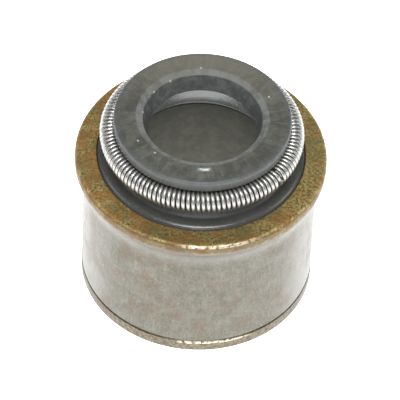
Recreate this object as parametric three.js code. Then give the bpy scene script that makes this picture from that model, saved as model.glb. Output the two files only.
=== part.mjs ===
// Valve stem seal: a rubber seal bonded in a flanged steel sleeve, with a garter spring round its head.
// Millimetres, +Z up. The origin is the centre of the sleeve's foot, on the plane that it stands on.
// The sleeve goes over the end of a valve guide, and the valve stem slides through the lip above it.

import * as THREE from 'three';

// Round the valve stem, from the lip outwards: each size stands on the one before it
const lipRadius = 3.75;
const lipThickness = 1.71;
const springGap = 0.05;
const coilRadius = 0.775;
const springInset = 0.14;
const liningThickness = 1.3;
const bondGap = 0.02;
const sleeveWall = 0.88;

// Steel sleeve: an open tube that flares into a flange at its top, with a thin trimmed edge at its foot
const caseHeight = 11.6;
const flangeReach = 0.62;
const flangeThickness = 0.85;
const flangeEdgeRound = 0.3;
const flareHeight = 1.9;
const footHeight = 0.86;
const footProud = 0.02;
const footGrooveDepth = 0.08;
const footGrooveWidth = 0.18;
const footEdgeRound = 0.1;

// Rubber: the lining that grips the guide
const liningRecess = 0.35;
const guideStopDepth = 0.8;
const leadInWidth = 0.5;
const leadInHeight = 0.9;

// Rubber: the shoulder in the flange's hole, and the neck above it
const shoulderProud = 0.2;
const shoulderRound = 0.2;
const neckFillet = 0.45;

// Rubber: the head, and the lip inside it
const headRise = 3.6;
const headRimThickness = 0.78;
const rimOverhang = 0.67;
const headEdgeRound = 0.2;
const mouthFlare = 0.35;
const mouthChamferWidth = 0.45;
const mouthChamferDepth = 0.15;
const lipAboveSpring = 0.29;
const throatFlare = 1.55;
const throatLength = 0.1;

// Garter spring: a close coil of round wire, joined end to end, whose turns all but touch on the inside
const wireDiameter = 0.28;
const turnGap = 0.005;
const grooveLowerWrap = 70;

// Fineness of the round shapes
const lathedSides = 72;
const arcStep = 30;
const coilSides = 10;
const stepsPerTurn = 3;

// Radii that follow from the sizes above
const mouthRadius = lipRadius + mouthFlare;
const throatRadius = lipRadius + throatFlare;
const grooveFloorRadius = lipRadius + lipThickness;
const grooveRadius = coilRadius + springGap;
const springRadius = grooveFloorRadius + grooveRadius;
const headRadius = grooveFloorRadius + rimOverhang;
const liningRadius = springRadius + coilRadius + springInset;
const guideBoreRadius = liningRadius - liningThickness;
const sleeveInnerRadius = liningRadius + bondGap;
const sleeveOuterRadius = sleeveInnerRadius + sleeveWall;
const flangeRadius = sleeveOuterRadius + flangeReach;

// Heights that follow, and the turns that the wire makes round the ring
const flangeUnderside = caseHeight - flangeThickness;
const headTop = caseHeight + headRise;
const springHeight = headTop - headRimThickness - grooveRadius;
const innermostWireRadius = springRadius - coilRadius + wireDiameter / 2;
const springTurns = Math.floor((2 * Math.PI * innermostWireRadius) / (wireDiameter + turnGap));
const lipHeight = springHeight + lipAboveSpring;
const guideStopHeight = caseHeight - guideStopDepth;
const throatTop = guideStopHeight + throatLength;

const point = (radius, height) => new THREE.Vector2(radius, height);

// Points of a round stretch of a profile, at most arcStep degrees apart, both ends included.
function arc(centre, radius, fromDegrees, toDegrees) {
  const steps = Math.ceil(Math.abs(toDegrees - fromDegrees) / arcStep);
  return Array.from({ length: steps + 1 }, (_, step) => {
    const angle = THREE.MathUtils.degToRad(fromDegrees + ((toDegrees - fromDegrees) * step) / steps);
    return point(centre.x + radius * Math.cos(angle), centre.y + radius * Math.sin(angle));
  });
}

// A closed ring turned about Z from its cross-section, which runs anticlockwise in (radius, height).
function turned(section) {
  const smallestStep = 1e-6;
  const distinct = section.filter((p, i) => p.distanceTo(section.at(i - 1)) > smallestStep);
  const geometry = new THREE.LatheGeometry([...distinct, distinct[0]], lathedSides);
  return geometry.rotateX(Math.PI / 2);
}

// The flare: one arc that leaves the sleeve's wall upright and ends at the flange's lower edge.
function flare() {
  const radius = (flareHeight ** 2 + flangeReach ** 2) / (2 * flangeReach);
  const centre = point(sleeveOuterRadius + radius, flangeUnderside - flareHeight);
  const sweep = THREE.MathUtils.radToDeg(Math.atan2(flareHeight, radius - flangeReach));
  return arc(centre, radius, 180, 180 - sweep);
}

// The sleeve's section: up the outside, over the flange, and down the bore.
function sleeveSection() {
  const footRadius = sleeveOuterRadius + footProud;
  const grooveMiddle = footHeight + footGrooveWidth / 2;
  const edgeCentre = point(flangeRadius - flangeEdgeRound, caseHeight - flangeEdgeRound);
  return [
    point(sleeveInnerRadius + footEdgeRound, 0),
    ...arc(point(footRadius - footEdgeRound, footEdgeRound), footEdgeRound, -90, 0),
    ...arc(point(footRadius - footEdgeRound, footHeight - footEdgeRound), footEdgeRound, 0, 60),
    point(sleeveOuterRadius - footGrooveDepth, grooveMiddle),
    point(sleeveOuterRadius, footHeight + footGrooveWidth),
    ...flare(),
    ...arc(edgeCentre, flangeEdgeRound, 0, 90),
    point(sleeveInnerRadius, caseHeight),
    point(sleeveInnerRadius, footEdgeRound),
  ];
}

// The outside of the rubber, from the lining's foot up to the edge of the head.
function sealOutside() {
  const shoulderTop = caseHeight + shoulderProud;
  const grooveCentre = point(springRadius, springHeight);
  const rimReach = Math.min(headRadius - springRadius, 0);
  const grooveTopAngle = THREE.MathUtils.radToDeg(Math.acos(rimReach / grooveRadius));
  const groove = arc(grooveCentre, grooveRadius, 180 + grooveLowerWrap, grooveTopAngle);
  const neckRadius = groove[0].x;
  return [
    point(liningRadius, liningRecess),
    ...arc(point(liningRadius - shoulderRound, shoulderTop - shoulderRound), shoulderRound, 0, 90),
    ...arc(point(neckRadius + neckFillet, shoulderTop + neckFillet), neckFillet, 270, 180),
    ...groove,
    point(headRadius, groove.at(-1).y),
    ...arc(point(headRadius - headEdgeRound, headTop - headEdgeRound), headEdgeRound, 0, 90),
  ];
}

// The inside of the rubber, from the mouth in the head down past the lip to the guide's bore.
function sealInside() {
  return [
    point(mouthRadius + mouthChamferWidth, headTop),
    point(mouthRadius, headTop - mouthChamferDepth),
    point(lipRadius, lipHeight),
    point(throatRadius, throatTop),
    point(throatRadius, guideStopHeight),
    point(guideBoreRadius, guideStopHeight),
    point(guideBoreRadius, liningRecess + leadInHeight),
    point(guideBoreRadius + leadInWidth, liningRecess),
  ];
}

// The spring as one closed ring, with a ridge that winds round it once for each turn of the wire.
// Each column of points follows the wire, so the ridge runs unbroken from one turn into the next.
function garterRing() {
  const columns = springTurns * stepsPerTurn;
  const ridgeDepth = wireDiameter / 2;
  const positions = [];
  const index = [];
  const at = (column, side) => {
    const wrapped = side === coilSides ? column - stepsPerTurn : column;
    return ((wrapped + columns) % columns) * coilSides + (side % coilSides);
  };
  for (let column = 0; column < columns; column += 1) {
    const inValley = column % stepsPerTurn === 0;
    const radius = inValley ? coilRadius - ridgeDepth : coilRadius;
    for (let side = 0; side < coilSides; side += 1) {
      const turn = column / stepsPerTurn - side / coilSides;
      const along = (2 * Math.PI * turn) / springTurns;
      const around = (2 * Math.PI * side) / coilSides;
      const reach = springRadius + radius * Math.cos(around);
      const height = springHeight + radius * Math.sin(around);
      positions.push(reach * Math.cos(along), reach * Math.sin(along), height);
      const [a, b] = [at(column, side), at(column + 1, side)];
      const [c, d] = [at(column + 1, side + 1), at(column, side + 1)];
      index.push(a, b, c, a, c, d);
    }
  }
  const geometry = new THREE.BufferGeometry();
  geometry.setAttribute('position', new THREE.Float32BufferAttribute(positions, 3));
  geometry.setIndex(index);
  geometry.computeVertexNormals();
  return geometry;
}

function piece(name, geometry, finish) {
  const mesh = new THREE.Mesh(geometry, new THREE.MeshStandardMaterial(finish));
  mesh.name = name;
  return mesh;
}

const platedSteel = { color: 0xa8a596, roughness: 0.38, metalness: 0.9 };
const sealRubber = { color: 0x3b3b38, roughness: 0.55, metalness: 0 };
const springSteel = { color: 0xc9cac8, roughness: 0.25, metalness: 1 };

const seal = new THREE.Group();
seal.add(
  piece('steel_case', turned(sleeveSection()), platedSteel),
  piece('seal_body', turned([...sealOutside(), ...sealInside()]), sealRubber),
  piece('garter_spring', garterRing(), springSteel),
);

export default seal;
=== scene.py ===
# %% [markdown]
# This script dresses a valve stem seal: the small rubber cap that stops oil running down an engine's valve.
# The imported model gives three solids: a steel sleeve, the rubber bonded in it, and a spring round the
# rubber's head. They are exact in size but plain, so each is replaced by a finer piece in the same place.
# The frame is loaded first, and the sizes of its solids are read from it.

# %% Load the imported model
import math

import bmesh
import bpy
from mathutils import Matrix, Vector


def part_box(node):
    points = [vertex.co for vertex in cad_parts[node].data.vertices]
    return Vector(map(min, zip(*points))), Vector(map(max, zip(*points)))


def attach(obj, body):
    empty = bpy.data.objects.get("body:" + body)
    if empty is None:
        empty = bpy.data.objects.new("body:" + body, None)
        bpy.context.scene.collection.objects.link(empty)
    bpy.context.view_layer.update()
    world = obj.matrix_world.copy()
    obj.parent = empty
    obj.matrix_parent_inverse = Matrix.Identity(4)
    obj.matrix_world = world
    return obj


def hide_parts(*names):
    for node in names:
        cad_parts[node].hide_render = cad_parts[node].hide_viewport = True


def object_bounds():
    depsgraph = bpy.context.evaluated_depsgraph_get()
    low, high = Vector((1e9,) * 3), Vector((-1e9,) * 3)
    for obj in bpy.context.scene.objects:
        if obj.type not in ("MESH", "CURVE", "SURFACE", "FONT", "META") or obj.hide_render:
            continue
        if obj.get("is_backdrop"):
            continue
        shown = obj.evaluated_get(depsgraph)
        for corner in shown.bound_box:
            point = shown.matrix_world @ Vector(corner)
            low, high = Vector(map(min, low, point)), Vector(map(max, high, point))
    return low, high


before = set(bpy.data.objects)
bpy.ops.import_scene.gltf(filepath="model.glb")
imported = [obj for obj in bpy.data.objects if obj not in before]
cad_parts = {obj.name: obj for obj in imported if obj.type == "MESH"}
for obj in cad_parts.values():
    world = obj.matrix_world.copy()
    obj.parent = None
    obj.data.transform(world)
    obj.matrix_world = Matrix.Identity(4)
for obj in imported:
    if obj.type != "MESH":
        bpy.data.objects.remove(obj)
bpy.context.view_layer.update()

scene = bpy.context.scene
scene.view_settings.view_transform = "Standard"
print("nodes in the frame:", ", ".join(sorted(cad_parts)))

# %% [markdown]
# Everything here is measured in millimetres, and turned into metres where a mesh or a lamp is placed.
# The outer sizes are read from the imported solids. The others are hidden inside them, such as the wall of
# the sleeve or the depth of a groove, so they are named again here, as in the part's own source.

# %% Sizes of the real object
MILLIMETRE = 0.001


def corners_in_millimetres(node):
    """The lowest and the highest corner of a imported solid."""
    low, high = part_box(node)
    return low / MILLIMETRE, high / MILLIMETRE


_, case_high = corners_in_millimetres("steel_case")
seal_low, seal_high = corners_in_millimetres("seal_body")

flange_radius = case_high.x
case_height = case_high.z
lining_radius = seal_high.x
lining_recess = seal_low.z
head_top = seal_high.z

bond_gap = 0.02
sleeve_wall = 0.88
sleeve_inner = lining_radius + bond_gap
sleeve_outer = sleeve_inner + sleeve_wall
print(f"flange {2 * flange_radius:.2f} mm, sleeve {2 * sleeve_outer:.2f} mm across, {head_top:.2f} mm high")

# %% [markdown]
# The sleeve and the rubber are both turned shapes: one outline swept once round the valve's axis.
# Blender's Screw modifier or a Spin could do that, but a short function that builds the rings of points
# itself keeps the outline in plain sight, closes the shape exactly and leaves no seam.
# Nothing pressed or moulded has a knife edge, so each corner of an outline carries its own rounding,
# and the small roundings are what catch the light.

# %% Outlines with rounded corners
ROUND_STEP = math.radians(9)


def arc(centre, radius, start, end):
    """Points on a circle from one angle to another, in degrees, both ends included."""
    sweep = math.radians(end - start)
    steps = max(1, math.ceil(abs(sweep) / ROUND_STEP))
    angles = [math.radians(start) + sweep * step / steps for step in range(steps + 1)]
    return [(centre[0] + radius * math.cos(a), centre[1] + radius * math.sin(a)) for a in angles]


def unrounded(points):
    """Corners of an outline that stay as they are, from the plain points of an arc."""
    return [(radius, height, 0) for radius, height in points]


def rounded(corners):
    """A closed outline of (radius, height, rounding) corners, with an arc in place of each rounded one."""
    outline = []
    for index, (radius, height, rounding) in enumerate(corners):
        corner = Vector((radius, height))
        before = (Vector(corners[index - 1][:2]) - corner).normalized()
        after = (Vector(corners[(index + 1) % len(corners)][:2]) - corner).normalized()
        half = before.angle(after) / 2
        if rounding == 0:
            outline.append(tuple(corner))
            continue
        centre = corner + (before + after).normalized() * rounding / math.sin(half)
        first = corner + before * rounding / math.tan(half) - centre
        last = corner + after * rounding / math.tan(half) - centre
        start = math.degrees(math.atan2(first.y, first.x))
        turn = (math.degrees(math.atan2(last.y, last.x)) - start + 180) % 360 - 180
        outline += arc(centre, rounding, start, start + turn)
    return outline


def bowed(first, last, sweep):
    """Points on an arc from one point to another that turns by `sweep` degrees, both ends included."""
    first, last = Vector(first), Vector(last)
    chord = last - first
    radius = chord.length / 2 / math.sin(math.radians(abs(sweep)) / 2)
    side = Vector((-chord.y, chord.x)).normalized() * math.copysign(1, sweep)
    centre = (first + last) / 2 + side * radius * math.cos(math.radians(sweep) / 2)
    start = math.degrees(math.atan2(first.y - centre.y, first.x - centre.x))
    return arc(centre, radius, start, start + sweep)


print("a square corner rounded by 0.3 mm takes", len(arc((0, 0), 0.3, 0, 90)), "points")

# %% [markdown]
# The outline's points go round the axis as rings, and each ring is joined to the next by four-sided faces.
# The last ring joins the first, so the solid is closed. Edges sharper than the crease angle stay sharp.

# %% Turn an outline into a solid
LATHE_SIDES = 240
CREASE = math.radians(38)


def turned(name, outline):
    """A closed ring whose cross-section is the outline, smooth except at its creases."""
    mesh = bpy.data.meshes.new(name)
    build = bmesh.new()
    rings = []
    for radius, height in outline:
        angles = [2 * math.pi * side / LATHE_SIDES for side in range(LATHE_SIDES)]
        points = [Vector((radius * math.cos(a), radius * math.sin(a), height)) for a in angles]
        rings.append([build.verts.new(point * MILLIMETRE) for point in points])
    for ring, above in zip(rings, rings[1:] + rings[:1]):
        for side in range(LATHE_SIDES):
            following = (side + 1) % LATHE_SIDES
            build.faces.new((ring[side], ring[following], above[following], above[side]))
    bmesh.ops.recalc_face_normals(build, faces=build.faces)
    build.to_mesh(mesh)
    build.free()
    mesh.shade_smooth()
    mesh.set_sharp_from_angle(angle=CREASE)
    piece = bpy.data.objects.new(name, mesh)
    scene.collection.objects.link(piece)
    print(f"{name}: {len(outline)} points in the outline, {2 * len(mesh.polygons)} triangles")
    return piece


# %% [markdown]
# The steel sleeve is drawn from sheet like a tiny cup. Its wall flares gently into the flange like
# a trumpet, the flange has a rolled outer edge, and at the foot a narrow ring is left where the blank was
# trimmed, with a fine groove above it. A Bevel modifier could round the corner under the flange, but it
# would keep one radius on both sides, so the flare is one arc worked out from its height and its reach.

# %% The steel sleeve
flange_thickness = 0.85
flange_edge_round = 0.3
flange_under_round = 0.15
flange_underside = case_height - flange_thickness
flare_height = 1.9
flare_start = flange_underside - flare_height
flange_reach = flange_radius - sleeve_outer
flare_radius = (flare_height ** 2 + flange_reach ** 2) / (2 * flange_reach)
flare_sweep = math.degrees(math.atan2(flare_height, flare_radius - flange_reach))
flare = arc((sleeve_outer + flare_radius, flare_start), flare_radius, 180, 180 - flare_sweep)
foot_height = 0.86
foot_proud = 0.02
foot_radius = sleeve_outer + foot_proud
foot_edge_round = 0.1
groove_depth = 0.08
groove_width = 0.18
small_round = 0.06

sleeve = turned("steel_sleeve", rounded([
    (sleeve_inner, 0, foot_edge_round),
    (foot_radius, 0, foot_edge_round),
    (foot_radius, foot_height, foot_edge_round),
    (sleeve_outer - groove_depth, foot_height + groove_width / 2, 0),
    (sleeve_outer, foot_height + groove_width, small_round),
    *unrounded(flare[:-1]),
    (flange_radius, flange_underside, flange_under_round),
    (flange_radius, case_height, flange_edge_round),
    (sleeve_inner, case_height, small_round),
]))

# %% [markdown]
# The rubber is moulded in one shot inside the sleeve. From below: a lining that grips the valve guide,
# a stop that sits on the guide's end, an undercut cone, and a thin lip that wipes the stem.
# Outside, a shoulder fills the hole in the flange, then a neck, a groove for the spring, and a flat head.
# Simple solids could be joined to make it, but one outline gives one skin, as the mould does.
# The cone is slightly bowed, so only its upper part mirrors the light that comes up the bore.

# %% Sizes of the rubber
coil_radius = 0.775
spring_gap = 0.05
spring_radius = 6.285
groove_radius = coil_radius + spring_gap
head_rim_thickness = 0.78
head_radius = 6.13
head_edge_round = 0.2
spring_height = head_top - head_rim_thickness - groove_radius
groove_start = 250
groove_end = math.degrees(math.acos((head_radius - spring_radius) / groove_radius))
spring_groove = arc((spring_radius, spring_height), groove_radius, groove_start, groove_end)

shoulder_proud = 0.2
shoulder_top = case_height + shoulder_proud
shoulder_round = 0.38
neck_radius = spring_groove[0][0]
neck_fillet = 0.45

guide_stop_depth = 0.8
guide_stop = case_height - guide_stop_depth
lining_thickness = 1.3
guide_bore = lining_radius - lining_thickness
lead_in_width = 0.5
lead_in_height = 0.9

lip_radius = 3.75
lip_above_spring = 0.29
lip_height = spring_height + lip_above_spring
throat_flare = 1.55
throat_length = 0.1
throat_radius = lip_radius + throat_flare
throat_top = guide_stop + throat_length
lip_bow = 20
lip_back = bowed((lip_radius, lip_height), (throat_radius, throat_top), lip_bow)
mouth_flare = 0.35
mouth_radius = lip_radius + mouth_flare
chamfer_width = 0.45
chamfer_depth = 0.15
print(f"lip {2 * lip_radius:.2f} mm, guide {2 * guide_bore:.2f} mm, spring at {spring_height:.3f} mm")

# %% The rubber seal
seal = turned("rubber_seal", rounded([
    (lining_radius, lining_recess, 0.12),
    (lining_radius, shoulder_top, shoulder_round),
    (neck_radius, shoulder_top, neck_fillet),
    *unrounded(spring_groove),
    (head_radius, head_top, head_edge_round),
    (mouth_radius + chamfer_width, head_top, 0.08),
    (mouth_radius, head_top - chamfer_depth, 0.07),
    (lip_radius, lip_height, 0.03),
    *unrounded(lip_back[1:]),
    (throat_radius, guide_stop, 0.04),
    (guide_bore, guide_stop, 0.2),
    (guide_bore, lining_recess + lead_in_height, 0.1),
    (guide_bore + lead_in_width, lining_recess, 0.1),
]))

# %% [markdown]
# Shader nodes and geometry nodes are both sums on sockets, and wiring them one by one hides the sum.
# This class wraps one socket, so that an expression such as `1 - mask * 0.5` adds its own Math nodes.
# Any other node comes from its one method, which sets what the node does before it fills in its sockets.

# %% Sockets that can be added and multiplied
class Value:
    """One socket of a node tree. Sums on values add Math nodes to the tree."""

    def __init__(self, socket):
        self.socket = socket
        self.tree = socket.id_data

    def node(self, kind, settings=None, inputs=None, output=0):
        """Adds a node of any kind to this value's tree, and gives back one of its outputs."""
        made = self.tree.nodes.new(kind)
        for name, setting in (settings or {}).items():
            setattr(made, name, setting)
        for name, given in (inputs or {}).items():
            if isinstance(given, Value):
                self.tree.links.new(given.socket, made.inputs[name])
            else:
                made.inputs[name].default_value = given
        return Value(made.outputs[output])

    def maths(self, operation, *operands):
        """A Math node on these operands, which are values or plain numbers."""
        return self.node("ShaderNodeMath", {"operation": operation}, dict(enumerate(operands)))

    def __add__(self, other):
        return self.maths("ADD", self, other)

    def __sub__(self, other):
        return self.maths("SUBTRACT", self, other)

    def __rsub__(self, other):
        return self.maths("SUBTRACT", other, self)

    def __mul__(self, other):
        return self.maths("MULTIPLY", self, other)

    def __truediv__(self, other):
        return self.maths("DIVIDE", self, other)

    def __pow__(self, other):
        return self.maths("POWER", self, other)

    __radd__ = __add__
    __rmul__ = __mul__


# %% [markdown]
# The garter spring is a fine steel wire wound into a long close coil, and the coil is bent into a ring.
# Its turns touch on the inside of the ring and open a little on the outside, which gives the dark slits
# between them. An Array of rings could stand for the turns, but real turns lean and run on one into the
# next. That is a rule, so Geometry Nodes wind it: every point's turn number comes from its index,
# and the place follows from two angles, one round the coil and one along the ring.
# At the join the last turns are wound tighter, and screw into the open end of the coil where it began.

# %% The named inputs of the winding
winding = bpy.data.node_groups.new("garter_spring_winding", "GeometryNodeTree")
winding.interface.new_socket(name="Geometry", in_out="OUTPUT", socket_type="NodeSocketGeometry")
winding_sizes = {
    "Ring Radius": ("NodeSocketFloat", 0.006),
    "Ring Height": ("NodeSocketFloat", 0.014),
    "Coil Radius": ("NodeSocketFloat", 0.0006),
    "Wire Radius": ("NodeSocketFloat", 0.0001),
    "Turns": ("NodeSocketFloat", 100.0),
    "Nib Turns": ("NodeSocketFloat", 3.0),
    "Nib Step": ("NodeSocketFloat", 0.0003),
    "Join Angle": ("NodeSocketFloat", 0.0),
    "Join Gap": ("NodeSocketFloat", 0.0),
    "Points per Turn": ("NodeSocketInt", 20),
    "Wire Sides": ("NodeSocketInt", 8),
    "Material": ("NodeSocketMaterial", None),
}
for socket_name, (socket_kind, start_value) in winding_sizes.items():
    named_input = winding.interface.new_socket(
        name=socket_name, in_out="INPUT", socket_type=socket_kind)
    if start_value is not None:
        named_input.default_value = start_value
group_inputs = winding.nodes.new("NodeGroupInput")
size = {name: Value(group_inputs.outputs[name]) for name in winding_sizes}
print("named inputs of the winding:", ", ".join(size))

# %% The tree that winds a garter spring
NIB_TAPER_TURNS = 0.2

any_value = size["Turns"]
index = any_value.node("GeometryNodeInputIndex")
turn = index / size["Points per Turn"]
past_join = any_value.node(
    "ShaderNodeMapRange",
    {"interpolation_type": "SMOOTHSTEP"},
    {"Value": turn - size["Turns"], "From Min": -NIB_TAPER_TURNS, "From Max": NIB_TAPER_TURNS},
)
around = turn * (-2 * math.pi)
along = size["Join Angle"] + turn / size["Turns"] * (2 * math.pi - size["Join Gap"])
along = along + past_join * size["Join Gap"]
winding_radius = size["Coil Radius"] - past_join * size["Nib Step"]
reach = size["Ring Radius"] + winding_radius * around.maths("COSINE", around)
place = any_value.node("ShaderNodeCombineXYZ", inputs={
    "X": reach * along.maths("COSINE", along),
    "Y": reach * along.maths("SINE", along),
    "Z": size["Ring Height"] + winding_radius * around.maths("SINE", around),
})

points = (size["Turns"] + size["Nib Turns"]) * size["Points per Turn"]
line = any_value.node("GeometryNodeMeshLine", inputs={"Count": points})
wire_path = any_value.node("GeometryNodeMeshToCurve", inputs={"Mesh": line})
wound = any_value.node("GeometryNodeSetPosition", inputs={"Geometry": wire_path, "Position": place})
section = any_value.node(
    "GeometryNodeCurvePrimitiveCircle",
    inputs={"Resolution": size["Wire Sides"], "Radius": size["Wire Radius"]},
)
wire = any_value.node(
    "GeometryNodeCurveToMesh",
    inputs={"Curve": wound, "Profile Curve": section, "Fill Caps": True},
)
smooth_wire = any_value.node("GeometryNodeSetShadeSmooth", inputs={"Geometry": wire})
whole = any_value.node("GeometryNodeRealizeInstances", inputs={"Geometry": smooth_wire})
coated = any_value.node(
    "GeometryNodeSetMaterial",
    inputs={"Geometry": whole, "Material": size["Material"]},
)
result = winding.nodes.new("NodeGroupOutput")
winding.links.new(coated.socket, result.inputs["Geometry"])
print("the winding tree has", len(winding.nodes), "nodes")

# %% [markdown]
# Every finish below is worked out from where a point lies on the object, in millimetres from the valve's
# axis. Pictures wrapped round the pieces could give the same stains, but noise of the right grain size
# needs no files and stays sharp at any distance. It stands for scratches, stains and moulding marks.

# %% Helpers that say where a point lies
def new_finish(name):
    """A material with a plain surface shader. Gives back both, and the place in millimetres."""
    finish = bpy.data.materials.new(name)
    finish.use_nodes = True
    shader = finish.node_tree.nodes["Principled BSDF"]
    coordinates = Value(finish.node_tree.nodes.new("ShaderNodeTexCoord").outputs["Object"])
    place = coordinates.node(
        "ShaderNodeVectorMath",
        {"operation": "SCALE"},
        {0: coordinates, "Scale": 1 / MILLIMETRE},
    )
    return finish, shader, place


def round_the_axis(place):
    """The x, y and height of a place, its radius, and its azimuth: 0 degrees on the right, -90 in front."""
    split = place.tree.nodes.new("ShaderNodeSeparateXYZ")
    place.tree.links.new(place.socket, split.inputs[0])
    x, y, height = [Value(output) for output in split.outputs]
    radius = (x * x + y * y) ** 0.5
    azimuth = y.maths("ARCTAN2", y, x) * (180 / math.pi)
    return x, y, height, radius, azimuth


print("places are measured from the axis of a seal that is", round(2 * flange_radius, 2), "mm across")

# %% Helpers that mix patterns and colours
def noise(place, scale, detail=3.0, stretch=(1, 1, 1), offset=(0, 0, 0), roughness=0.5):
    """Noise from 0 to 1, about `scale` blotches to the millimetre, drawn out where `stretch` is small."""
    mapped = place.node(
        "ShaderNodeMapping",
        inputs={"Vector": place, "Location": offset, "Scale": stretch},
    )
    return place.node(
        "ShaderNodeTexNoise",
        inputs={"Vector": mapped, "Scale": scale, "Detail": detail, "Roughness": roughness},
    )


def fade(value, low, high):
    """0 at `low`, 1 at `high`, and a smooth change between them, whichever of the two is the larger."""
    rising = low < high
    return value.node(
        "ShaderNodeMapRange",
        {"interpolation_type": "SMOOTHSTEP"},
        {
            "Value": value,
            "From Min": min(low, high),
            "From Max": max(low, high),
            "To Min": 0.0 if rising else 1.0,
            "To Max": 1.0 if rising else 0.0,
        },
    )


def blend(share, first, second):
    """A colour between two others: all `first` where the share is 0, all `second` where it is 1."""
    def as_colour(colour):
        return colour if isinstance(colour, Value) else (*colour, 1)
    return share.node(
        "ShaderNodeMix",
        {"data_type": "RGBA"},
        {0: share, 6: as_colour(first), 7: as_colour(second)},
        output=2,
    )


def layered(ground, *layers):
    """A ground colour with other colours laid over it in turn, each as thickly as its share says."""
    for share, colour in layers:
        ground = blend(share, ground, colour)
    return ground


def bump(height, strength, distance):
    """Surface normals for small heights: `distance` is how far the surface moves, in millimetres."""
    return height.node(
        "ShaderNodeBump",
        inputs={"Height": height, "Strength": strength, "Distance": distance * MILLIMETRE},
    )


def connect(value, shader, socket):
    """Feeds a socket of a surface shader."""
    value.tree.links.new(value.socket, shader.inputs[socket])


print("helpers for the finishes: noise, fade, blend, layered, bump and connect")

# %% [markdown]
# The sleeve is passivated steel. The drawn wall is a warm grey, with faint lines along the axis where
# the die wiped it, pinkish stains and a fine speckle. It is painted paler under the flange and towards its
# left and right sides, a painted reflection of the light table, and it is a little more stained on the left.

# %% The steel finish: the drawn wall
steel, steel_shader, spot = new_finish("passivated_steel")
x, y, height, radius, azimuth = round_the_axis(spot)
sideways = x.maths("ABSOLUTE", x)
side = fade(sideways, sleeve_outer - 2.5, sleeve_outer - 0.3)
# front is 1 at the front of the sleeve; it sets the painted shade on the flange and in the groove
front = fade(y, 1.9 - sleeve_outer, 0.1 - sleeve_outer)
more_on_the_left = fade(x, 6, -7) * 0.05

mottle = noise(spot, 0.9, detail=5, roughness=0.62)
grain = noise(spot, 5, detail=4, roughness=0.8)
die_lines = noise(spot, 9, detail=3, stretch=(1, 1, 0.15))
stain_cloud = noise(spot, 0.5, detail=6, roughness=0.72, offset=(3, 7, 1))
stains = fade(stain_cloud + more_on_the_left, 0.50, 0.68)
scratches = fade(noise(spot, 4, detail=3, stretch=(1, 1, 0.3), offset=(9, 2, 4)), 0.60, 0.68)
speckle = fade(noise(spot, 4.5, detail=5, roughness=0.75, offset=(1, 5, 8)), 0.52, 0.66)

wall_tone = fade(mottle, 0.25, 0.75) * 0.55 + fade(grain, 0.35, 0.65) * 0.45
wall = layered(
    blend(wall_tone, (0.088, 0.085, 0.067), (0.174, 0.169, 0.142)),
    (fade(die_lines, 0.45, 0.7) * 0.18, (0.22, 0.215, 0.195)),
    (stains * 0.55, (0.150, 0.102, 0.072)),
    (speckle * 0.4, (0.085, 0.068, 0.052)),
    (scratches * 0.12, (0.24, 0.235, 0.215)),
    # painted reflection: paler under the flange, where the flare mirrors the light table
    (fade(height, flare_start - 0.25, flare_start + 0.95) * 0.3, (0.24, 0.24, 0.225)),
    # painted reflection: paler towards the left and right sides of the wall
    (side * 0.38, (0.30, 0.30, 0.295)),
)
print("nodes for the wall:", len(steel.node_tree.nodes))

# %% [markdown]
# The flange kept more of the treatment, and went olive gold with rust brown blotches and green tints.
# The trimmed foot is a duller gold. At the front, the edges of both are painted bright metal in short broken
# glints: painted glints where the front lamp catches them. Heights and radii tell these places apart, with
# a little noise so that no border is a ruled line, and azimuths keep the glints at the front.

# %% The steel finish: the gold of the flange
rust_cloud = noise(spot, 0.75, detail=6, roughness=0.7, offset=(4, 1, 6))
rust = fade(rust_cloud + more_on_the_left, 0.49, 0.58)
rust_grains = fade(noise(spot, 2.6, detail=5, roughness=0.75, offset=(2, 8, 3)), 0.46, 0.60)
green = fade(noise(spot, 0.7, detail=4, offset=(6, 3, 9)), 0.5, 0.62)
gold = layered(
    blend(fade(grain, 0.40, 0.58), (0.150, 0.120, 0.042), (0.540, 0.430, 0.175)),
    (green * 0.55, (0.185, 0.190, 0.080)),
    (rust * 0.45 + rust_grains * 0.28, (0.300, 0.120, 0.024)),
    # painted shade: the gold is painted darker towards the front
    (front * 0.35, (0.085, 0.058, 0.026)),
)
print("nodes for the wall and the gold:", len(steel.node_tree.nodes))

# %% The steel finish: the edges and the foot
glints_left, glints_right = (-101, -92), (-56, -72)
in_front = fade(azimuth, *glints_left) * fade(azimuth, *glints_right)
# broken patches for the painted glints
glint_patches = fade(noise(spot, 3.2, detail=4, roughness=0.6, offset=(7, 4, 2)), 0.40, 0.52)

edge_wander = (mottle - 0.5) * 0.5
on_flange = fade(height + edge_wander, flange_underside - 0.05, flange_underside + 0.35)
rim_side = fade(radius, flange_radius - 0.12, flange_radius - 0.02) * on_flange
rim_outside = fade(radius, flange_radius - 0.17, flange_radius - 0.11)
rim_under_top = fade(height, case_height - 0.24, case_height - 0.17)
# painted glints: the rim's rounded edge is painted bright metal at the front only
painted_rim_glints = rim_outside * rim_under_top * glint_patches * in_front
flange_colour = layered(
    gold,
    (rim_side * 0.75, (0.125, 0.088, 0.058)),
    (painted_rim_glints, (0.66, 0.60, 0.46)),
)

groove_top = foot_height + groove_width
above_foot = fade(height, foot_height - 0.02, foot_height + 0.04)
in_groove = above_foot * fade(height, groove_top + 0.03, groove_top - 0.04)
on_foot = fade(height, foot_height + 0.1, foot_height)
foot_gold = blend(fade(grain, 0.38, 0.60), (0.080, 0.062, 0.040), (0.200, 0.172, 0.125))
# the foot is painted darker away from the front
foot_darkening = on_foot * fade(y, 1.5 - sleeve_outer, 4.6 - sleeve_outer)
# painted glints: the foot's top edge is painted bright metal at the front only
painted_foot_glints = fade(height, foot_height - 0.16, foot_height - 0.10) * on_foot * in_front * glint_patches

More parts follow.
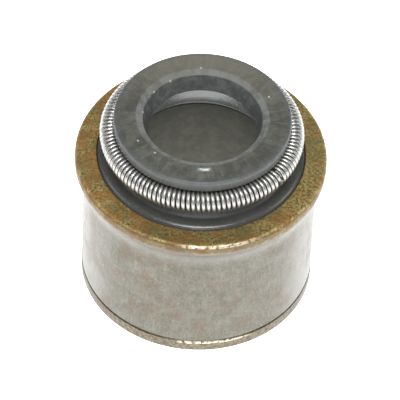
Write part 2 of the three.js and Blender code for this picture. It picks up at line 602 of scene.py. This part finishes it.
steel_colour = layered(
    blend(on_flange, wall, flange_colour),
    (on_foot * 0.8, foot_gold),
    (foot_darkening * 0.6, (0.055, 0.048, 0.038)),
    (painted_foot_glints, (0.78, 0.72, 0.57)),
    # painted shade in the fine groove above the foot, weaker at the front
    (in_groove * (0.5 - front * 0.25), (0.075, 0.055, 0.030)),
)
connect(steel_colour, steel_shader, "Base Color")
print("nodes for the colour of the steel:", len(steel.node_tree.nodes))

# %% [markdown]
# Stains and rust are rougher than clean metal, and a thick layer of the treatment hides some of it.
# The same noise raises the surface by a few hundredths of a millimetre, so the mirrored light ripples.

# %% The steel finish: polish and relief
treated = on_flange * (0.15 + rust_grains * 0.2) * (1 - painted_rim_glints)
steel_roughness = 0.34 + mottle * 0.12 + stains * 0.1 + on_flange * (0.1 + rust * 0.12)
relief = grain * (0.3 + on_flange * 0.5) + die_lines * 0.3 * (1 - on_flange) - scratches * 0.5
connect(steel_roughness - scratches * 0.06 - painted_rim_glints * 0.12, steel_shader, "Roughness")
connect(1 - treated - stains * 0.08, steel_shader, "Metallic")
connect(bump(relief + mottle * 0.5, 0.6, 0.03), steel_shader, "Normal")
print("passivated_steel:", len(steel.node_tree.nodes), "nodes")

# %% [markdown]
# The rubber is a fluoroelastomer: nearly black, with a lighter olive painted deep inside the bore as painted
# light.
# The head's face is mottled, with faint radial drag lines from the mould, a chamfer round the mouth painted
# paler as a sheen, and one small dent at the front. The face is painted lighter towards the back, as painted
# light. Behind the lip, the cone mirrors the bright table as a pale crescent, also painted pale as a
# reflection.
# Each of those places is a band of heights and radii, so the bands are named before they are coloured.

# %% The rubber finish: its places
rubber, rubber_shader, spot = new_finish("moulded_rubber")
x, y, height, radius, azimuth = round_the_axis(spot)
sideways = x.maths("ABSOLUTE", x)
cloud = noise(spot, 0.5, detail=4, roughness=0.6)

under_throat = fade(height, throat_top + 0.1, throat_top - 0.1)
inside_bore = under_throat * fade(radius, lining_radius - 0.1, lining_radius - 0.4)
above_stop = fade(height, guide_stop - 0.15, guide_stop - 0.05)
stop_edge = above_stop * fade(height, throat_top + 0.5, throat_top + 0.1)

under_lip = fade(height, lip_height, lip_height - 0.1) * fade(radius, throat_radius + 0.1, throat_radius)
on_cone = under_lip * fade(height, throat_top + 0.4, throat_top + 1.0)
crescent_right, crescent_left = (38, 72), (150, 115)
behind_lip = on_cone * fade(azimuth, *crescent_right) * fade(azimuth, *crescent_left)

above_lip = fade(height, lip_height - 0.02, lip_height + 0.05)
in_mouth = above_lip * fade(radius, mouth_radius + 0.04, mouth_radius)
near_top = fade(height, head_top - 0.3, head_top - 0.2)
on_face = near_top * fade(radius, mouth_radius, mouth_radius + 0.06)
chamfer_edge = mouth_radius + chamfer_width
chamfer_wander = fade(y, -1.5, -4) * 0.14 + (cloud - 0.5) * 0.25
on_chamfer = on_face * fade(radius + chamfer_wander, chamfer_edge + 0.09, chamfer_edge - 0.05)
above_flange = fade(height, case_height, case_height + 0.1)
on_shoulder = above_flange * fade(radius, lining_radius - 0.32, lining_radius - 0.2)
print("nodes for the places of the rubber:", len(rubber.node_tree.nodes))

# %% [markdown]
# The dent is a small knock in the head's face, and its edge stands up a little. The slope of that edge
# faces the middle and catches the low rear lamp, and from its crest the face falls back to the rim.
# The crumbs are pale specks left from trimming. Real bumps this small would need a very fine mesh,
# so the dent is only a change of the normals, with a painted glint on its slope,
# and the crumbs are only colour.

# %% The rubber finish: a dent and crumbs
dent_start, dent_crest, dent_end = 4.68, 5.0, 6.0
dent_left, dent_right = (-95, -89), (-79, -84)
dent_sides = fade(azimuth, *dent_left) * fade(azimuth, *dent_right)
dent = fade(radius, dent_start, dent_crest) * fade(radius, dent_end, dent_crest + 0.05) * dent_sides
slope_start = fade(radius, dent_start - 0.04, dent_start + 0.04)
slope_end = fade(radius, dent_crest + 0.06, dent_crest - 0.02)
glinting_dent_slope = slope_start * slope_end * dent_sides

CRUMB_RADIUS = 0.11
CRUMB_MIDDLE = 0.04
mouth_edge = head_top - chamfer_depth
crumb_places = [
    (mouth_radius, 146.4, mouth_edge),
    (mouth_radius, 124.9, mouth_edge),
    (mouth_radius, 175.4, mouth_edge),
    (4.99, 26.0, head_top),
    (4.99, -150.3, head_top),
    (4.63, 93.5, head_top),
    (4.70, -131.8, head_top),
]


def crumb(from_axis, turned_by, at_height):
    """1 in the middle of a crumb and 0 outside it. It is placed by radius, azimuth and height."""
    angle = math.radians(turned_by)
    middle = (from_axis * math.cos(angle), from_axis * math.sin(angle), at_height)
    distance = spot.node(
        "ShaderNodeVectorMath",
        {"operation": "DISTANCE"},
        {0: spot, 1: middle},
        output=1,
    )
    return fade(distance, CRUMB_RADIUS, CRUMB_MIDDLE)


crumbs = sum(crumb(*crumb_place) for crumb_place in crumb_places)
print("crumbs on the rubber:", len(crumb_places))

# %% The rubber finish: its colours
blotches = fade(noise(spot, 1.3, detail=5, roughness=0.7, offset=(8, 1, 3)), 0.40, 0.62)
drag_place = spot.node(
    "ShaderNodeCombineXYZ",
    inputs={"X": azimuth * 0.22, "Y": radius * 0.5, "Z": height * 0.5},
)
drag_lines = fade(noise(drag_place, 1.5, detail=4, roughness=0.7), 0.50, 0.66)
skin = noise(spot, 9, detail=4, roughness=0.7)
dust = fade(noise(spot, 6, detail=3, roughness=0.7, offset=(5, 2, 7)), 0.60, 0.70)

black = blend(cloud, (0.038, 0.041, 0.039), (0.064, 0.066, 0.060))
mouth_black = blend(blotches, (0.072, 0.078, 0.076), (0.120, 0.127, 0.122))
# painted light and shade in the bore: a lighter olive, painted darker under the stop and at the sides
painted_shade_under_stop = fade(height, guide_stop - 2.6, guide_stop - 0.2) * 0.4
olive = layered(
    blend(blotches, (0.060, 0.061, 0.038), (0.092, 0.092, 0.060)),
    (fade(sideways, 2.4, 5.2) * 0.5 + painted_shade_under_stop, (0.030, 0.029, 0.024)),
)
face = layered(
    blend(blotches * 0.7 + cloud * 0.3, (0.044, 0.046, 0.039), (0.100, 0.100, 0.084)),
    (drag_lines * 0.45, (0.150, 0.156, 0.146)),
    # painted light: the face is painted lighter towards the back
    (fade(y, 0, 6.5) * 0.6, (0.180, 0.172, 0.132)),
    # painted sheen: a pale bluish band near the head's rounded edge
    (fade(radius, head_radius - 0.5, head_radius - 0.1) * 0.5, (0.070, 0.082, 0.088)),
)
# painted sheen: the chamfer round the mouth is painted paler in uneven patches, less towards the back
chamfer_sheen = on_chamfer * (0.35 + blotches * 0.6) * (1 - fade(y, 1, 4) * 0.3)
rubber_colour = layered(
    black,
    (inside_bore, olive),
    (in_mouth, mouth_black),
    (on_face, face),
    (chamfer_sheen, (0.165, 0.173, 0.168)),
    # painted shade: the edge of the guide stop under the throat is painted nearly black
    (stop_edge * 0.9, (0.008, 0.008, 0.007)),
    # painted reflection: the crescent behind the lip is also painted pale bluish, besides being glossy
    (behind_lip * 0.55, (0.175, 0.205, 0.228)),
    # painted glint: the dent's slope is painted pale bluish where it catches the rear lamp
    (glinting_dent_slope * 0.6, (0.30, 0.34, 0.35)),
    (dust * 0.3, (0.20, 0.195, 0.18)),
    (crumbs, (0.42, 0.41, 0.34)),
)
connect(rubber_colour, rubber_shader, "Base Color")
print("nodes for the colour of the rubber:", len(rubber.node_tree.nodes))

# %% The rubber finish: sheen and relief
satin = 0.32 + cloud * 0.12 + dust * 0.15 + on_face * 0.1 + on_chamfer * 0.1
satin = satin + inside_bore * 0.25 + stop_edge * 0.4
glossy = satin * (1 - behind_lip * 0.72) - on_shoulder * 0.24
connect(glossy * (1 - glinting_dent_slope * 0.65), rubber_shader, "Roughness")
connect(bump(skin * 0.2 + cloud * 0.12 + dent * 1.2, 1.0, 0.065), rubber_shader, "Normal")
rubber_shader.inputs["IOR"].default_value = 1.52
print("moulded_rubber:", len(rubber.node_tree.nodes), "nodes")

# %% [markdown]
# The spring is bright drawn wire with a thin film of oil that dulls it in patches. It could be one plain
# metal, but then every turn would look the same, so noise varies its roughness a little from turn to
# turn. Most of its look comes from what the turns reflect.

# %% The finish of the spring wire
wire_steel, wire_shader, spot = new_finish("spring_wire")
film = noise(spot, 0.8, detail=4, roughness=0.6)
tarnish = fade(noise(spot, 2.4, detail=4, roughness=0.7, offset=(2, 2, 5)), 0.52, 0.7)
bright = blend(film, (0.37, 0.37, 0.36), (0.52, 0.52, 0.50))
connect(blend(tarnish * 0.35, bright, (0.22, 0.18, 0.15)), wire_shader, "Base Color")
connect(0.29 + film * 0.1 + tarnish * 0.12, wire_shader, "Roughness")
connect(bump(tarnish, 0.2, 0.002), wire_shader, "Normal")
wire_shader.inputs["Metallic"].default_value = 1.0
print("spring_wire:", len(wire_steel.node_tree.nodes), "nodes")

# %% [markdown]
# The modifier's inputs are set by the sockets' identifiers before Blender first works the tree out.
# Then the wound wire is copied into a plain mesh, because the export keeps only real faces.
# The number of turns is what fits round the inside of the ring, where the turns all but touch.

# %% Wind the spring
wire_diameter = 0.28
turn_gap = 0.005
turn_pitch = wire_diameter + turn_gap
coil_centre_radius = coil_radius - wire_diameter / 2
innermost_wire = spring_radius - coil_centre_radius
whole_turns = math.floor(2 * math.pi * innermost_wire / turn_pitch)
join_azimuth = -36.5
join_gap = 0.16


def wind(name, tree, sizes):
    """A plain mesh of what the tree makes from these sizes."""
    carrier = bpy.data.objects.new(name, bpy.data.meshes.new(name))
    scene.collection.objects.link(carrier)
    modifier = carrier.modifiers.new("winding", "NODES")
    modifier.node_group = tree
    for item in tree.interface.items_tree:
        if item.in_out == "INPUT" and item.name in sizes:
            modifier[item.identifier] = sizes[item.name]
    evaluated = carrier.evaluated_get(bpy.context.evaluated_depsgraph_get())
    mesh = bpy.data.meshes.new_from_object(evaluated)
    carrier.modifiers.clear()
    carrier.data = mesh
    mesh.name = name
    return carrier


spring = wind("garter_coil", winding, {
    "Ring Radius": spring_radius * MILLIMETRE,
    "Ring Height": spring_height * MILLIMETRE,
    "Coil Radius": coil_centre_radius * MILLIMETRE,
    "Wire Radius": wire_diameter / 2 * MILLIMETRE,
    "Turns": float(whole_turns),
    "Nib Turns": 3.0,
    "Nib Step": turn_pitch * MILLIMETRE,
    "Join Angle": math.radians(join_azimuth),
    "Join Gap": join_gap / spring_radius,
    "Points per Turn": 22,
    "Wire Sides": 8,
    "Material": wire_steel,
})
spring_triangles = sum(len(polygon.vertices) - 2 for polygon in spring.data.polygons)
print(f"garter_coil: {whole_turns} turns of {wire_diameter} mm wire, {spring_triangles} triangles")

# %% [markdown]
# Each finished piece now takes the place of its solid: it rides on the part's one body, and the solid that
# it replaces is hidden. Nothing in this seal moves by itself.

# %% Fit the pieces to the frame
sleeve.data.materials.append(steel)
seal.data.materials.append(rubber)
for piece, node, slot in (
    (sleeve, "steel_case", "plated_steel"),
    (seal, "seal_body", "seal_rubber"),
    (spring, "garter_spring", "spring_steel"),
):
    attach(piece, "root")
    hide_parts(node)
print("pieces on the frame:", sleeve.name, seal.name, spring.name)

# %% [markdown]
# The seal stands on a light table, as small parts do for a catalogue: the table glows evenly,
# so there is hardly a shadow, and light also comes up through the bore. The steel wall mirrors the table.

# %% The floor
half_floor = 0.6
table_white = 0.8
table_glow = 1.7
floor_corners = [
    (-half_floor, -half_floor, 0),
    (half_floor, -half_floor, 0),
    (half_floor, half_floor, 0),
    (-half_floor, half_floor, 0),
]
floor_mesh = bpy.data.meshes.new("light_table")
floor_mesh.from_pydata(floor_corners, [], [(0, 1, 2, 3)])
floor = bpy.data.objects.new("light_table", floor_mesh)
scene.collection.objects.link(floor)
floor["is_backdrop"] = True
table_finish = bpy.data.materials.new("light_table")
table_finish.use_nodes = True
table_shader = table_finish.node_tree.nodes["Principled BSDF"]
table_shader.inputs["Base Color"].default_value = (table_white, table_white, table_white, 1)
table_shader.inputs["Roughness"].default_value = 0.9
table_shader.inputs["Emission Color"].default_value = (1, 1, 1, 1)
table_shader.inputs["Emission Strength"].default_value = table_glow
floor_mesh.materials.append(table_finish)
print(f"the light table is {2 * half_floor:.1f} m wide")

# %% [markdown]
# A picture of a studio could light the seal from all round, but a few round lamps over a plain grey sky
# say where each highlight comes from. The overhead softbox lights the spring's upper side and the
# shoulder, the two at the sides lift the wall, the front lamp draws the glints on the edges of the flange
# and the foot, and the low rear lamp finds the slope of the dent.

# %% The soft light
sky_strength = 0.3
lamp_distance = 0.40
world = bpy.data.worlds.new("studio")
world.use_nodes = True
world.node_tree.nodes["Background"].inputs["Color"].default_value = (1, 1, 1, 1)
world.node_tree.nodes["Background"].inputs["Strength"].default_value = sky_strength
scene.world = world


def softbox(name, azimuth, elevation, width, radiance):
    """A round lamp aimed at the seal. Azimuth 0 is in front of it, and 90 is on its right in the picture."""
    lamp = bpy.data.lights.new(name, "AREA")
    lamp.shape = "DISK"
    lamp.size = width
    lamp.energy = radiance * math.pi * math.pi * (width / 2) ** 2
    a, e = math.radians(azimuth), math.radians(elevation)
    direction = Vector((math.sin(a) * math.cos(e), -math.cos(a) * math.cos(e), math.sin(e)))
    holder = bpy.data.objects.new(name, lamp)
    holder.location = Vector((0, 0, case_height * MILLIMETRE)) + direction * lamp_distance
    holder.rotation_mode = "QUATERNION"
    holder.rotation_quaternion = (-direction).to_track_quat("-Z", "Y")
    scene.collection.objects.link(holder)
    print(f"{name}: {lamp.energy:.3f} W, {width * 1000:.0f} mm across")


softbox("overhead_softbox", 0, 66, 0.22, 12.0)
softbox("left_softbox", -100, 35, 0.20, 2.2)
softbox("right_softbox", 100, 35, 0.20, 3.0)
softbox("front_lamp", 6, 24, 0.045, 40.0)
softbox("rear_lamp", 182, 8, 0.05, 24.0)

# %% [markdown]
# The photograph was taken from well above with a long lens, and the camera was turned a little about its
# own view. The lens and the distance come from how the seal's circles look: their flatness gives the
# height of the camera, and how much larger the near ones look than the far ones gives its distance.

# %% The camera
image_width = 400
sensor_width = 36.0
camera_elevation = math.radians(48.216)
camera_roll = math.radians(2.698)
camera_distance = 0.3278
pixels_per_radian = 4707.7
aimed_height = 0.008
aim_right_pixels, aim_down_pixels = 0.53, 12.71

camera_data = bpy.data.cameras.new("catalogue_camera")
camera_data.sensor_width = sensor_width
camera_data.lens = pixels_per_radian * sensor_width / image_width
camera_data.clip_start = 0.01
camera = bpy.data.objects.new("catalogue_camera", camera_data)
scene.collection.objects.link(camera)
scene.camera = camera

back = Vector((0, -math.cos(camera_elevation), math.sin(camera_elevation)))
level_right = Vector((1, 0, 0))
level_up = back.cross(level_right)
right = level_right * math.cos(camera_roll) + level_up * math.sin(camera_roll)
up = level_up * math.cos(camera_roll) - level_right * math.sin(camera_roll)
metres_per_pixel = camera_distance / pixels_per_radian
aim = Vector((0, 0, aimed_height)) + (right * aim_right_pixels - up * aim_down_pixels) * metres_per_pixel
turn_to_view = Matrix((right, up, back)).transposed().to_4x4()
camera.matrix_world = Matrix.Translation(aim + back * camera_distance) @ turn_to_view
print(f"camera: {camera_data.lens:.0f} mm lens, {camera_distance * 1000:.0f} mm away")

# %% [markdown]
# The box round the finished pieces has to be the box of the solids, because the part keeps its real size.
# Only the size of the dressed pieces is printed here, and then the frame takes the scene over.

visual_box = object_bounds()
dressed_size = [round(side_length / MILLIMETRE, 3) for side_length in visual_box[1] - visual_box[0]]
print("size of the dressed seal in mm:", dressed_size)
